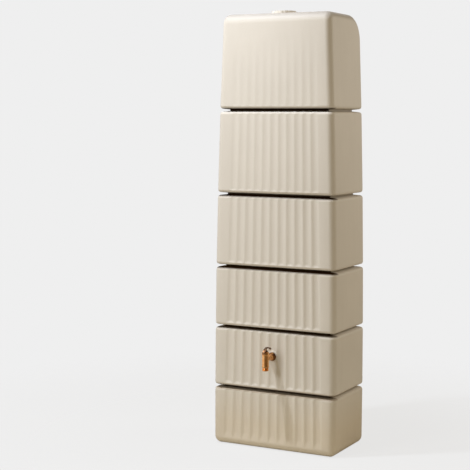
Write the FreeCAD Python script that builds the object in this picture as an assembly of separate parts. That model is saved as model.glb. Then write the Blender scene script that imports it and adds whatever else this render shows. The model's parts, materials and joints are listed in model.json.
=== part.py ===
# Slim water tank: one hollow moulding of six tiers with a fluted front,
# a screw cap on top and a brass quarter turn tap near the foot.
# Millimetres. The origin is the middle of the base, X runs along the width,
# the fluted front faces -Y and Z points up.
import FreeCAD, Part
import math
import os

os.makedirs("parts", exist_ok=True)
V = FreeCAD.Vector
ALONG_X = V(1, 0, 0)
ALONG_Y = V(0, 1, 0)
UP = V(0, 0, 1)

# Tank moulding: the sides bow inwards towards the top
tank_height = 1800.0
tank_depth = 324.0
widest_half_width = 279.0
widest_level = 200.0
side_bow_radius = 35500.0
wall = 5.0
corner_radius = 28.0
top_front_radius = 37.0
top_back_radius = 100.0
base_radius = 30.0

# Grooves between the tiers, as shares of the height: a turned-in lip, then a narrow slit
groove_shares = (0.1372, 0.2797, 0.4217, 0.5896, 0.7822)
groove_depth = 36.0
groove_mouth = 32.0
lip_knee_depth = 2.8
lip_knee_mouth = 18.0
lip_depth = 9.5
slit_mouth = 12.4
slit_root = 6.0

# Flutes on the front: round valleys that draw together towards the top
flute_count = 11
flute_depth = 6.0
flute_pitch_base = 41.9
flute_pitch_top = 33.6
flute_share = 0.86
flute_base_band = 26.0
flute_top_band = 30.0
flute_lip_gap = 1.0
flute_end_slope = 1.0
flute_top_fade = 40.0

# Filler neck in a shallow round well, and its cap
filler_setback = 87.0
well_radius = 57.0
well_depth = 6.0
neck_radius = 43.0
neck_wall = 6.0
neck_height = 11.0
cap_radius = 50.0
cap_wall = 3.5
cap_seat_gap = 1.0
cap_edge = 2.0
cap_grip_count = 16
cap_grip_radius = 6.0
cap_grip_bite = 1.5
cap_gasket_thickness = 2.0
vent_radius = 1.5

# Tap seat: a flat pad outside, a boss with a brass insert inside
tap_share = 0.22
pad_radius = 22.0
pad_rise = 1.0
boss_radius = 25.0
insert_radius = 17.0
insert_length = 26.0
insert_groove_width = 5.0
insert_groove_depth = 2.0
shank_radius = 13.2
shank_bite = 18.0
thread_clearance = 0.05
wall_gasket_radius = 17.0
wall_gasket_thickness = 2.0
flange_radius = 18.0
flange_thickness = 3.0
flange_edge = 1.2
lock_nut_width = 30.0
lock_nut_thickness = 6.0

# Tap body: a level neck into an upright barrel
tap_reach = 64.0
tap_neck_radius = 11.0
barrel_radius = 14.5
barrel_above = 28.0
barrel_below = 34.0
barrel_edge = 0.8
waterway_radius = 7.5
chamber_radius = 10.0
chamber_floor_below = 18.0
bonnet_radius = 11.2
bonnet_bite = 10.0
nozzle_spigot_radius = 11.0
nozzle_bite = 8.0
port_seal_radius = 9.0
port_seal_seat = 13.5
port_seal_bore = 7.0

# Turning plug, its rings and the stem
running_clearance = 0.1
plug_floor_gap = 0.2
plug_port_radius = 6.5
ring_thickness = 1.8
ring_groove_width = 2.4
lower_ring_rise = 6.0
upper_ring_drop = 6.0
thrust_washer_thickness = 1.6
thrust_gap = 0.2
stem_radius = 5.0
stem_ring_thickness = 1.5
stem_square = 7.0
stem_square_length = 6.0

# Bonnet nut and quarter turn stop
bonnet_width = 20.0
bonnet_head = 3.0
stop_pin_radius = 1.1
stop_pin_offset = 8.0
stop_pin_rise = 2.4
stop_pin_bite = 2.6
stop_pin_angle = 135.0
stop_play = 0.3
quarter_turn = 90.0

# Lever handle: an arched bar over a hub
hub_radius = 10.5
hub_thickness = 2.8
hub_gap = 0.4
hub_neck_radius = 6.4
lever_width = 12.0
lever_thickness = 3.2
lever_front = 23.0
lever_front_drop = 9.0
lever_crown = -2.0
lever_crown_rise = 12.0
lever_tail = 47.0
lever_tail_rise = 3.0
lever_edge = 1.2
square_clearance = 0.1
screw_radius = 1.9
screw_head_radius = 3.8
screw_head_height = 2.2
screw_length = 9.0
screw_socket_width = 2.5
screw_seat_drop = 2.8
handle_washer_thickness = 0.8

# Outlet nozzle
nozzle_radius = 13.5
nozzle_length = 14.0
nozzle_bore = 9.5
nozzle_edge = 1.0
nozzle_seal_thickness = 1.0

# Places that follow from the sizes
half_depth = tank_depth / 2
front = -half_depth
groove_levels = tuple(share * tank_height for share in groove_shares)
tier_levels = (0.0,) + groove_levels + (tank_height,)
last_tier = len(groove_levels)
well_floor = tank_height - well_depth
neck_top = well_floor + neck_height
tap_level = tap_share * tank_height
filler_y = front + filler_setback
pad_face = front - pad_rise
tap_axis_y = pad_face - tap_reach
gasket_face = pad_face - wall_gasket_thickness
flange_face = gasket_face - flange_thickness
nut_face = flange_face - lock_nut_thickness
barrel_top = tap_level + barrel_above
barrel_foot = tap_level - barrel_below
chamber_floor = tap_level - chamber_floor_below
bonnet_foot = barrel_top - bonnet_bite
bonnet_top = barrel_top + bonnet_head
plug_radius = chamber_radius - running_clearance
plug_foot = chamber_floor + plug_floor_gap
plug_top = bonnet_foot - thrust_washer_thickness - 2 * thrust_gap
lower_ring_level = plug_foot + lower_ring_rise
upper_ring_level = plug_top - upper_ring_drop
stem_ring_level = barrel_top - bonnet_bite / 2
hub_foot = bonnet_top + hub_gap
hub_top = hub_foot + hub_thickness
stem_top = hub_foot + stem_square_length
screw_seat = bonnet_top + lever_crown_rise - screw_seat_drop
reach_out = 1.5 * widest_half_width


def cylinder(radius, base, direction, length):
    return Part.makeCylinder(radius, length, base, direction)


def ring(outer, inner, base, direction, length):
    body = cylinder(outer, base, direction, length)
    return body.cut(cylinder(inner, base, direction, length))


def tap_axis(level):
    return V(0, tap_axis_y, level)


def hexagon(width, centre, direction, length, turn=0.0):
    corner = width / 2 / math.cos(math.pi / 6)
    side = UP if abs(direction.y) > 0.5 else ALONG_X
    across = direction.cross(side)
    points = []
    for i in range(6):
        angle = math.radians(60 * i + turn)
        points.append(centre + side * (corner * math.cos(angle)) + across * (corner * math.sin(angle)))
    return extrude_polygon(points, direction * length)


def turned_hexagon(width, centre, direction, length, turn=0.0):
    # The outer end is turned down so that its points are taken off
    corner = width / 2 / math.cos(math.pi / 6)
    chamfer = corner - width / 2
    outside = cylinder(corner, centre + direction * chamfer, direction, length - chamfer)
    cone = Part.makeCone(width / 2, corner, chamfer, centre, direction)
    return hexagon(width, centre, direction, length, turn).common(outside.fuse(cone))


def extrude_polygon(points, direction):
    return Part.Face(Part.makePolygon(points + [points[0]])).extrude(direction)


def long_edges(body, level, back):
    found = []
    for edge in body.Edges:
        box = edge.BoundBox
        level_edge = abs(box.ZMin - level) < 0.1 and abs(box.ZMax - level) < 0.1
        if level_edge and box.XLength > widest_half_width and (box.YMin > 0) == back:
            found.append(edge)
    return found


# Tank moulding. Each form is drawn at an inset: zero gives the outside,
# the wall thickness gives the hollow.


def half_width(level):
    rise = level - widest_level
    return widest_half_width - side_bow_radius + math.sqrt(side_bow_radius ** 2 - rise ** 2)


def side_chain(body, low, high):
    edges = []
    for face in body.Faces:
        if abs(face.CenterOfMass.x) < widest_half_width / 2:
            continue
        for edge in face.Edges:
            box = edge.BoundBox
            joins_tier = box.ZLength < 0.1 and (abs(box.ZMax - low) < 0.1 or abs(box.ZMax - high) < 0.1)
            if not joins_tier:
                edges.append(edge)
    return edges


def tier_block(index, inset):
    low = tier_levels[index]
    high = tier_levels[index + 1]
    foot = half_width(low) - inset
    head = half_width(high) - inset
    y = half_depth - inset
    outline = [V(-foot, -y, low), V(foot, -y, low), V(head, -y, high), V(-head, -y, high)]
    body = extrude_polygon(outline, ALONG_Y * (2 * y))
    open_low = low
    open_high = high
    trims = []
    if index == 0:
        body = body.cut(Part.makeBox(2 * reach_out, 2 * y, inset, V(-reach_out, -y, low))) if inset else body
        trims = [(low + inset, False, base_radius), (low + inset, True, base_radius)]
        open_low = -1.0
    if index == last_tier:
        body = body.cut(Part.makeBox(2 * reach_out, 2 * y, inset, V(-reach_out, -y, high - inset))) if inset else body
        trims = [(high - inset, False, top_front_radius), (high - inset, True, top_back_radius)]
        open_high = -1.0
    for level, back, radius in trims:
        body = body.makeFillet(radius - inset, long_edges(body, level, back))
    return body.makeFillet(corner_radius - inset, side_chain(body, open_low, open_high))


def groove_section(inset):
    # Half section of a groove as (depth from the face, height from the middle)
    corners = [(0.0, groove_mouth / 2), (lip_knee_depth, lip_knee_mouth / 2),
               (lip_depth, slit_mouth / 2), (groove_depth, slit_root / 2)]
    lines = []
    for (depth, height), (next_depth, next_height) in zip(corners, corners[1:]):
        slope = (next_height - height) / (next_depth - depth)
        lines.append((slope, height - slope * depth + inset * math.hypot(1, slope)))
    section = [(inset - corner_radius / 3, lines[0][1] + lines[0][0] * (inset - corner_radius / 3))]
    for (slope, start), (next_slope, next_start) in zip(lines, lines[1:]):
        depth = (next_start - start) / (slope - next_slope)
        section.append((depth, start + slope * depth))
    root = inset + groove_depth
    section.append((root, lines[-1][1] + lines[-1][0] * root))
    return section


def groove_cutters(level, inset):
    section = groove_section(inset)
    outline = [(depth, -height) for depth, height in section]
    outline += [(depth, height) for depth, height in reversed(section)]
    cutters = []
    for side in (-1, 1):
        face_x = half_width(level)
        points = [V(side * (face_x - depth), -reach_out, level + height) for depth, height in outline]
        cutters.append(extrude_polygon(points, ALONG_Y * (2 * reach_out)))
        points = [V(-reach_out, side * (half_depth - depth), level + height) for depth, height in outline]
        cutters.append(extrude_polygon(points, ALONG_X * (2 * reach_out)))
    return cutters


def flute_pitch(level):
    return flute_pitch_base + (flute_pitch_top - flute_pitch_base) * level / tank_height


def flute_zone(low, high, low_slope, high_slope, inset):
    # Keeps the flutes between two sloping ends, seen along X
    outside = front - 2 * flute_depth
    inside = front + 4 * flute_depth

    def low_end(y):
        return low + low_slope * (y - front) - inset * math.hypot(1, low_slope)

    def high_end(y):
        return high - high_slope * (y - front) + inset * math.hypot(1, high_slope)

    points = [V(-reach_out, outside, low_end(outside)), V(-reach_out, inside, low_end(inside)),
              V(-reach_out, inside, high_end(inside)), V(-reach_out, outside, high_end(outside))]
    return extrude_polygon(points, ALONG_X * (2 * reach_out))


def tier_flutes(index, inset):
    # A tier's flutes run out through its upper lip and end just above its lower one
    low = tier_levels[index] + groove_mouth / 2 + flute_lip_gap
    high = tier_levels[index + 1]
    high_slope = 0.0
    if index == 0:
        low = flute_base_band
    if index == last_tier:
        high = tank_height - flute_top_band
        high_slope = flute_top_fade
    zone = flute_zone(low, high, flute_end_slope, high_slope, inset)
    chord = flute_share * flute_pitch((low + high) / 2)
    radius = (chord ** 2 / 4 + flute_depth ** 2) / (2 * flute_depth)
    centre_y = front + flute_depth - radius
    start = tier_levels[index] - tank_height / 20
    end = tier_levels[index + 1] + tank_height / 20
    flutes = []
    for number in range(flute_count):
        step = number - (flute_count - 1) / 2
        foot = V(step * flute_pitch(start), centre_y, start)
        head = V(step * flute_pitch(end), centre_y, end)
        axis = head - foot
        flutes.append(cylinder(radius + inset, foot, axis, axis.Length).common(zone))
    return flutes


def tank_form(inset):
    tiers = [tier_block(index, inset) for index in range(last_tier + 1)]
    form = tiers[0].multiFuse(tiers[1:])
    cutters = []
    for level in groove_levels:
        cutters += groove_cutters(level, inset)
    form = form.cut(cutters)
    flutes = []
    for index in range(last_tier + 1):
        flutes += tier_flutes(index, inset)
    return form.cut(flutes)


def insert_envelope():
    body = cylinder(insert_radius, V(0, pad_face, tap_level), ALONG_Y, insert_length)
    first = pad_face + (insert_length - 2 * insert_groove_width) / 3
    second = first + insert_groove_width + (insert_length - 2 * insert_groove_width) / 3
    waist = insert_radius - insert_groove_depth
    for start in (first, second):
        base = V(0, start, tap_level)
        body = body.cut(ring(insert_radius + 1, waist, base, ALONG_Y, insert_groove_width))
    return body


def tank_body():
    pad = cylinder(pad_radius, V(0, pad_face, tap_level), ALONG_Y, 2 * flute_depth)
    well = ring(well_radius, neck_radius, V(0, filler_y, well_floor), UP, 2 * well_depth)
    neck = cylinder(neck_radius, V(0, filler_y, well_floor - wall), UP, wall + neck_height)
    outside = tank_form(0.0).fuse([pad, neck]).cut(well)
    boss_end = pad_face + insert_length + wall
    boss = cylinder(boss_radius, V(0, front, tap_level), ALONG_Y, boss_end - front)
    well_wall = cylinder(well_radius + wall, V(0, filler_y, well_floor - wall), UP, 2 * wall + well_depth)
    hollow = tank_form(wall).cut([boss, well_wall])
    mouth = cylinder(neck_radius - neck_wall, V(0, filler_y, well_floor - 2 * wall), UP, reach_out)
    water_hole = cylinder(shank_radius, V(0, pad_face - 1, tap_level), ALONG_Y, boss_end - pad_face + 2)
    return outside.cut([hollow, mouth, water_hole, insert_envelope()])


def threaded_insert():
    hole = cylinder(shank_radius + thread_clearance, V(0, pad_face - 1, tap_level), ALONG_Y, insert_length + 2)
    return insert_envelope().cut(hole)


def filler_cap():
    foot = well_floor + cap_seat_gap
    roof = neck_top + cap_gasket_thickness
    top = roof + cap_wall
    body = cylinder(cap_radius, V(0, filler_y, foot), UP, top - foot)
    rim = [edge for edge in body.Edges if edge.BoundBox.ZMin > top - 0.1]
    body = body.makeChamfer(cap_edge, rim)
    cutters = [cylinder(cap_radius - cap_wall, V(0, filler_y, foot), UP, roof - foot),
               cylinder(vent_radius, V(0, filler_y, roof - 1), UP, cap_wall + 2)]
    grip_offset = cap_radius + cap_grip_radius - cap_grip_bite
    for number in range(cap_grip_count):
        angle = 2 * math.pi * number / cap_grip_count
        base = V(grip_offset * math.cos(angle), filler_y + grip_offset * math.sin(angle), foot)
        cutters.append(cylinder(cap_grip_radius, base, UP, top - foot))
    return body.cut(cutters)


def cap_gasket():
    base = V(0, filler_y, neck_top)
    return ring(neck_radius, neck_radius - neck_wall, base, UP, cap_gasket_thickness)


# Fittings between the tank wall and the tap


def wall_gasket():
    base = V(0, gasket_face, tap_level)
    return ring(wall_gasket_radius, shank_radius + thread_clearance, base, ALONG_Y, wall_gasket_thickness)


def wall_flange():
    base = V(0, flange_face, tap_level)
    body = ring(flange_radius, shank_radius + thread_clearance, base, ALONG_Y, flange_thickness)
    rim = []
    for edge in body.Edges:
        box = edge.BoundBox
        if box.YMax < flange_face + 0.1 and box.XLength > 2 * flange_radius - 1:
            rim.append(edge)
    return body.makeChamfer(flange_edge, rim)


def lock_nut():
    centre = V(0, nut_face, tap_level)
    body = turned_hexagon(lock_nut_width, centre, ALONG_Y, lock_nut_thickness, 30.0)
    hole = cylinder(shank_radius + thread_clearance, centre - ALONG_Y, ALONG_Y, lock_nut_thickness + 2)
    return body.cut(hole)


# Tap body and valve


def port_seal_blank(radius):
    return cylinder(radius, tap_axis(tap_level), ALONG_Y, port_seal_seat)


def tap_body():
    barrel = cylinder(barrel_radius, tap_axis(barrel_foot), UP, barrel_top - barrel_foot)
    barrel = barrel.makeChamfer(barrel_edge, [e for e in barrel.Edges if e.BoundBox.ZMin > barrel_top - 0.1])
    shank_start = nut_face - lock_nut_thickness / 2
    neck = cylinder(tap_neck_radius, tap_axis(tap_level), ALONG_Y, shank_start - tap_axis_y)
    shank_end = pad_face + shank_bite
    shank = cylinder(shank_radius, V(0, shank_start, tap_level), ALONG_Y, shank_end - shank_start)
    step = shank_radius - tap_neck_radius
    shoulder = Part.makeCone(tap_neck_radius, shank_radius, step, V(0, shank_start - step, tap_level), ALONG_Y)
    body = barrel.fuse([neck, shank, shoulder])
    bonnet_well = cylinder(bonnet_radius, tap_axis(bonnet_foot), UP, bonnet_bite + 1)
    nozzle_well = cylinder(nozzle_spigot_radius, tap_axis(barrel_foot - 1), UP, nozzle_bite + 1)
    chamber = cylinder(chamber_radius, tap_axis(chamber_floor), UP, barrel_top - chamber_floor)
    outlet = cylinder(waterway_radius, tap_axis(barrel_foot), UP, chamber_floor - barrel_foot + 1)
    inlet = cylinder(waterway_radius, tap_axis(tap_level), ALONG_Y, shank_end - tap_axis_y + 1)
    return body.cut([bonnet_well, nozzle_well, chamber, outlet, inlet, port_seal_blank(port_seal_radius)])


def port_seal():
    body = port_seal_blank(port_seal_radius)
    bore = port_seal_blank(port_seal_bore)
    chamber = cylinder(chamber_radius, tap_axis(chamber_floor), UP, barrel_top - chamber_floor)
    return body.cut([bore, chamber])


def square_ring(radius, thickness, level):
    return ring(radius, radius - thickness, tap_axis(level - thickness / 2), UP, thickness)


def groove_ring(radius, thickness, level):
    base = tap_axis(level - ring_groove_width / 2)
    return ring(radius + 1, radius - thickness, base, UP, ring_groove_width)


def valve_plug():
    plug = cylinder(plug_radius, tap_axis(plug_foot), UP, plug_top - plug_foot)
    stem = cylinder(stem_radius, tap_axis(plug_top), UP, hub_foot - plug_top)
    half = stem_square / 2
    square = Part.makeBox(stem_square, stem_square, stem_top - hub_foot, V(-half, tap_axis_y - half, hub_foot))
    body = plug.fuse([stem, square])
    bore_length = tap_level + plug_port_radius - plug_foot + 1
    down_bore = cylinder(plug_port_radius, tap_axis(plug_foot - 1), UP, bore_length)
    side_port = cylinder(plug_port_radius - running_clearance, tap_axis(tap_level), ALONG_Y, chamber_radius + 1)
    screw_hole = cylinder(screw_radius, tap_axis(stem_top - screw_length), UP, screw_length + 1)
    cutters = [down_bore, side_port, screw_hole]
    cutters.append(groove_ring(plug_radius, ring_thickness, lower_ring_level))
    cutters.append(groove_ring(plug_radius, ring_thickness, upper_ring_level))
    cutters.append(groove_ring(stem_radius, stem_ring_thickness, stem_ring_level))
    return body.cut(cutters)


def thrust_washer():
    base = tap_axis(plug_top + thrust_gap)
    return ring(plug_radius, stem_radius + running_clearance, base, UP, thrust_washer_thickness)


def stop_pin_place(level):
    angle = math.radians(stop_pin_angle)
    x = stop_pin_offset * math.cos(angle)
    y = tap_axis_y + stop_pin_offset * math.sin(angle)
    return V(x, y, level)


def stop_pin():
    return cylinder(stop_pin_radius, stop_pin_place(bonnet_top - stop_pin_bite), UP, stop_pin_bite + stop_pin_rise)


def bonnet_nut():
    head = hexagon(bonnet_width, tap_axis(barrel_top), UP, bonnet_head)
    thread = cylinder(bonnet_radius - thread_clearance, tap_axis(bonnet_foot), UP, bonnet_bite)
    bore = cylinder(stem_radius + running_clearance, tap_axis(bonnet_foot - 1), UP, bonnet_bite + bonnet_head + 2)
    return head.fuse(thread).cut([bore, stop_pin()])


# Lever handle


def lever_arch():
    front_tip = V(-lever_width / 2, tap_axis_y - lever_front, bonnet_top - lever_front_drop)
    crown = V(-lever_width / 2, tap_axis_y + lever_crown, bonnet_top + lever_crown_rise)
    tail = V(-lever_width / 2, tap_axis_y + lever_tail, bonnet_top + lever_tail_rise)
    outer = Part.Arc(front_tip, crown, tail).toShape()
    centre = outer.Curve.Center

    def inward(point):
        radius = (point - centre).Length
        return centre + (point - centre) * ((radius - lever_thickness) / radius)

    inner = Part.Arc(inward(tail), inward(crown), inward(front_tip))
    edges = [outer, Part.makeLine(tail, inward(tail)), inner.toShape(),
             Part.makeLine(inward(front_tip), front_tip)]
    bar = Part.Face(Part.Wire(edges)).extrude(ALONG_X * lever_width)
    tips = [edge for edge in bar.Edges if edge.BoundBox.XLength > lever_width - 0.1]
    return bar.makeFillet(lever_edge, tips)


def stop_slot():
    play = math.degrees(math.asin((stop_pin_radius + stop_play) / stop_pin_offset))
    slot = ring(hub_radius + 1, hub_neck_radius, tap_axis(hub_foot - 1), UP, hub_thickness + 2)
    sweep = quarter_turn + 2 * play
    sector = Part.makeCylinder(hub_radius + 2, hub_thickness + 4, tap_axis(hub_foot - 2), UP, sweep)
    sector.rotate(tap_axis(0), UP, stop_pin_angle - play)
    return slot.common(sector)


def lever_handle():
    hub = cylinder(hub_radius, tap_axis(hub_foot), UP, hub_thickness)
    neck = cylinder(hub_neck_radius, tap_axis(hub_foot), UP, screw_seat - hub_foot)
    body = lever_arch().fuse([hub, neck])
    half = stem_square / 2 + square_clearance
    square = Part.makeBox(2 * half, 2 * half, stem_top - hub_foot + 1, V(-half, tap_axis_y - half, hub_foot - 1))
    hole = cylinder(screw_radius + square_clearance, tap_axis(hub_foot), UP, reach_out)
    seat = cylinder(screw_head_radius + 2 * square_clearance, tap_axis(screw_seat), UP, reach_out)
    return body.cut([stop_slot(), square, hole, seat])


def handle_washer():
    return ring(screw_head_radius, screw_radius + square_clearance, tap_axis(screw_seat), UP,
                handle_washer_thickness)


def handle_screw():
    seat = screw_seat + handle_washer_thickness
    head = cylinder(screw_head_radius, tap_axis(seat), UP, screw_head_height)
    rim = [edge for edge in head.Edges if edge.BoundBox.ZMin > seat + screw_head_height - 0.1]
    head = head.makeChamfer(screw_head_height / 4, rim)
    foot = stem_top - screw_length + square_clearance
    shank = cylinder(screw_radius - thread_clearance, tap_axis(foot), UP, seat - foot)
    depth = screw_head_height / 2
    socket = hexagon(screw_socket_width, tap_axis(seat + screw_head_height - depth), UP, 2 * depth)
    return head.fuse(shank).cut(socket)


# Outlet


def nozzle_seal():
    return ring(nozzle_radius, nozzle_spigot_radius, tap_axis(barrel_foot - nozzle_seal_thickness), UP,
                nozzle_seal_thickness)


def outlet_nozzle():
    shoulder = barrel_foot - nozzle_seal_thickness
    mouth = shoulder - nozzle_length
    body = cylinder(nozzle_radius, tap_axis(mouth), UP, nozzle_length)
    rim = [edge for edge in body.Edges if edge.BoundBox.ZMax < mouth + 0.1]
    body = body.makeChamfer(nozzle_edge, rim)
    spigot_length = nozzle_seal_thickness + nozzle_bite - thrust_gap
    spigot = cylinder(nozzle_spigot_radius - thread_clearance, tap_axis(shoulder), UP, spigot_length)
    wide = cylinder(nozzle_bore, tap_axis(mouth - 1), UP, nozzle_length / 2 + 1)
    taper = Part.makeCone(nozzle_bore, waterway_radius, nozzle_length / 4, tap_axis(mouth + nozzle_length / 2), UP)
    narrow = cylinder(waterway_radius, tap_axis(mouth + nozzle_length / 2), UP, reach_out)
    return body.fuse(spigot).cut([wide, taper, narrow])


pieces = {
    "tank_body": tank_body(),
    "threaded_insert": threaded_insert(),
    "filler_cap": filler_cap(),
    "cap_gasket": cap_gasket(),
    "wall_gasket": wall_gasket(),
    "wall_flange": wall_flange(),
    "lock_nut": lock_nut(),
    "tap_body": tap_body(),
    "port_seal": port_seal(),
    "valve_plug": valve_plug(),
    "lower_plug_ring": square_ring(plug_radius, ring_thickness, lower_ring_level),
    "upper_plug_ring": square_ring(plug_radius, ring_thickness, upper_ring_level),
    "stem_ring": square_ring(stem_radius, stem_ring_thickness, stem_ring_level),
    "thrust_washer": thrust_washer(),
    "bonnet_nut": bonnet_nut(),
    "stop_pin": stop_pin(),
    "lever_handle": lever_handle(),
    "handle_washer": handle_washer(),
    "handle_screw": handle_screw(),
    "nozzle_seal": nozzle_seal(),
    "outlet_nozzle": outlet_nozzle(),
}

for name, shape in pieces.items():
    shape.exportStep("parts/" + name + ".step")
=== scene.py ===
import json
import math

import bmesh
import bpy
import numpy as np
from mathutils import Matrix, Vector


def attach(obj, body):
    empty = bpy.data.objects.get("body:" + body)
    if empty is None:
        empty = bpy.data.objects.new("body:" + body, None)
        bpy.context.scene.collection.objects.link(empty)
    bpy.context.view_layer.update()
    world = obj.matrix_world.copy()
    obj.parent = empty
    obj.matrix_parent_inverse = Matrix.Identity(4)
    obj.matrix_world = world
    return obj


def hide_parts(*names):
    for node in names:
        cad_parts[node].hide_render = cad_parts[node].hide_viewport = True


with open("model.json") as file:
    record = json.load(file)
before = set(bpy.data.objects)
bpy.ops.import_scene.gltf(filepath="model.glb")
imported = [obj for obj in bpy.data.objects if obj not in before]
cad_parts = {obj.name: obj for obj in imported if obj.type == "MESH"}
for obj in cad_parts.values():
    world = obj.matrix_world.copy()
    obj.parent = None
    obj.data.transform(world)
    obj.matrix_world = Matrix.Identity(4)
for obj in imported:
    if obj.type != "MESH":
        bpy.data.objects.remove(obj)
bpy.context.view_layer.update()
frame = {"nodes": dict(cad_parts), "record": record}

MM = 0.001
TURN = 2 * math.pi
# Radius of the small rings that close a turned shape on its axis
AXIS = 0.01

# Tank sizes in millimetres, as in the CAD source
HEIGHT = 1800.0
HALF_WIDTH = 279.0
WIDEST_LEVEL = 200.0
SIDE_BOW = 35500.0
HALF_DEPTH = 162.0
WALL = 5.0
CORNER = 28.0
TOP_FRONT = 37.0
TOP_BACK = 100.0
BASE_EDGE = 30.0
GROOVES = (246.96, 503.46, 759.06, 1061.28, 1407.96)
# A groove's half section from its mouth to its root, as depth and height from its middle
GROOVE_SECTION = ((0.0, 16.0), (2.8, 9.0), (9.5, 6.2), (36.0, 3.0))
# Plain wall above and below a groove's mouth that its lip's round may use
LIP_WALL = 8.0
LIP_ROUND = 9.0
THROAT_ROUND = 5.0
ROOT_ROUND = 2.0
FLUTES = 11
FLUTE_DEPTH = 6.0
FLUTE_SHARE = 0.86
FLUTE_START = 17.0
FLUTE_FOOT = 26.0
# A flute begins this far below its start, and is at its full depth this far above it: the
# first value is over a groove, the second over the foot
FLUTE_LEAD = 3.0
FLUTE_SLOPES = (15.0, 46.0)
# Levels between which the flutes fade out below the top
FLUTE_FADE = (1470.0, 1770.0)
# How much of the flutes' depth shows in each tier, from the foot up
FLUTE_TIERS = (1.0, 0.9, 0.78, 0.54, 0.32, 0.18)
PITCH_BASE = 41.9
PITCH_TOP = 33.6
# Least plain wall between the outer flutes and the corners
FLUTE_GAP = 1.5

# Filler sizes
FILLER_Y = -75.0
WELL_FLOOR = 1794.0
WELL_RADIUS = 57.0
NECK_TOP = 1805.0
NECK_RADIUS = 43.0
NECK_BORE = 37.0
# The filler's thread: its pitch, a ridge's half width as a share of that, its ends in turns
FILLER_PITCH = 3.6
RIDGE_HALF = 0.28
RIDGE_FADE = 0.35
NECK_RIDGE = 1.5
NECK_TURNS = 1.8
CAP_RIDGE = 1.4
CAP_TURNS = 1.95
CAP_FOOT = 1795.0
CAP_ROOF = 1807.0
CAP_TOP = 1810.5
CAP_RADIUS = 50.0
CAP_BORE = 46.5
CAP_VENT = 1.5
# Finger grips: how many, the ring that their centres lie on, and their radius
GRIPS = 16
GRIP_RING = 54.5
GRIP_RADIUS = 6.0

# Tap sizes
TAP_Y = -227.0
TAP_Z = 396.0
PAD_FACE = -163.0
PAD_RADIUS = 22.0
# The boss inside the pad's wall and the brass insert in it, inwards from the pad's face
BOSS_DEPTH = 31.0
INSERT_DEPTH = 26.0
INSERT_RADIUS = 17.0
NUT_FACE = -174.0
NUT_FLAT = 15.0
FLANGE_FACE = -168.0
GASKET_FACE = -165.0
SHANK_HOLE = 13.25
SHANK_RADIUS = 13.2
SHANK_ROOT = 12.75
SHANK_END = 82.0
WATERWAY = 7.5
LEVEL_NECK = 11.0
FILLET = 3.0
BARREL_FOOT = 362.0
BARREL_TOP = 424.0
BARREL_RADIUS = 14.5
BARREL_WAIST = 13.9
NOZZLE_SEAT = 370.0
CHAMBER_FLOOR = 378.0
CHAMBER_ROOF = 414.0
CHAMBER_RADIUS = 10.0
BONNET_FLAT = 10.0
BONNET_TOP = 427.0
STOP_RING = 8.0
STOP_PLAY = 1.4
# The stop pin's angle and the far end of its slot, in degrees
STOP_ANGLES = (135.0, 225.0)
NOZZLE_FOOT = 347.0
NOZZLE_RADIUS = 13.5
NOZZLE_MOUTH = 9.5
# The hose thread's pitch and depth, the turns over which it begins, and over which it ends
NOZZLE_PITCH = 1.9
NOZZLE_GROOVE = 1.1
NOZZLE_START = (0.0, 0.5)
NOZZLE_END = (4.6, 5.2)
# The lever's upper line through tip, crown and heel, as y and z
LEVER_LINE = ((-250.0, 418.0), (-229.0, 439.0), (-180.0, 430.0))
LEVER_HALF_WIDTH = 6.0
LEVER_HALF_THICK = 1.6
# Powers that square the lever's section across and upwards, and its thumb hollow's depth
LEVER_SECTION = (0.42, 0.55)
LEVER_HOLLOW = 0.5
# The lever's ends in width, then in thickness: their length, their power and the share of
# the size that they lose
LEVER_ENDS = ((6.2, 2.2, 0.85), (1.3, 2, 0.8))
HUB_FOOT = 427.4
HUB_TOP = 430.2
HUB_NECK = 6.4
HUB_NECK_TOP = 436.2
STEM_HALF = 3.6
STEM_TOP = 433.4


# Mesh tools
def mesh_object(name, points, faces, matrix=None):
    """A loose mesh object from points in millimetres, placed by the matrix in the row frame."""
    points = np.asarray(points, float)
    if matrix is not None:
        turn = np.array(matrix, float)
        points = points @ turn[:3, :3].T + turn[:3, 3]
    mesh = bpy.data.meshes.new(name)
    mesh.from_pydata([tuple(point) for point in points * MM], [], faces)
    mesh.update()
    obj = bpy.data.objects.new(name, mesh)
    bpy.context.scene.collection.objects.link(obj)
    bm = bmesh.new()
    bm.from_mesh(mesh)
    # A thousandth of a millimetre welds points, and a tenth of that drops an edge
    bmesh.ops.remove_doubles(bm, verts=bm.verts, dist=1e-6)
    bmesh.ops.dissolve_degenerate(bm, edges=bm.edges, dist=1e-7)
    bmesh.ops.recalc_face_normals(bm, faces=bm.faces)
    bm.to_mesh(mesh)
    bm.free()
    return obj


def finish_piece(obj, body, slot, node, sharp=38.0):
    """Smooth shading with sharp edges kept, then body, slot and the CAD node it stands for."""
    bm = bmesh.new()
    bm.from_mesh(obj.data)
    for face in bm.faces:
        # Level faces stay flat so that rounds beside them don't tint them
        face.smooth = abs(face.normal.z) < 0.99999
    limit = math.radians(sharp)
    for edge in bm.edges:
        if len(edge.link_faces) == 2:
            edge.smooth = edge.calc_face_angle(0.0) < limit
    bm.to_mesh(obj.data)
    bm.free()
    obj.data.materials.clear()
    obj.data.materials.append(SLOTS[slot])
    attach(obj, body)
    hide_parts(node)


def combine(base, others, operation):
    """Joins closed meshes to the base, or cuts them from it."""
    for other in others:
        modifier = base.modifiers.new("combine", "BOOLEAN")
        modifier.operation = operation
        modifier.solver = "MANIFOLD"
        modifier.object = other
        bpy.context.view_layer.update()
        graph = bpy.context.evaluated_depsgraph_get()
        result = bpy.data.meshes.new_from_object(base.evaluated_get(graph))
        base.modifiers.clear()
        spent = (base.data, other.data)
        base.data = result
        bpy.data.objects.remove(other)
        for mesh in spent:
            bpy.data.meshes.remove(mesh)
    return base


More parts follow.
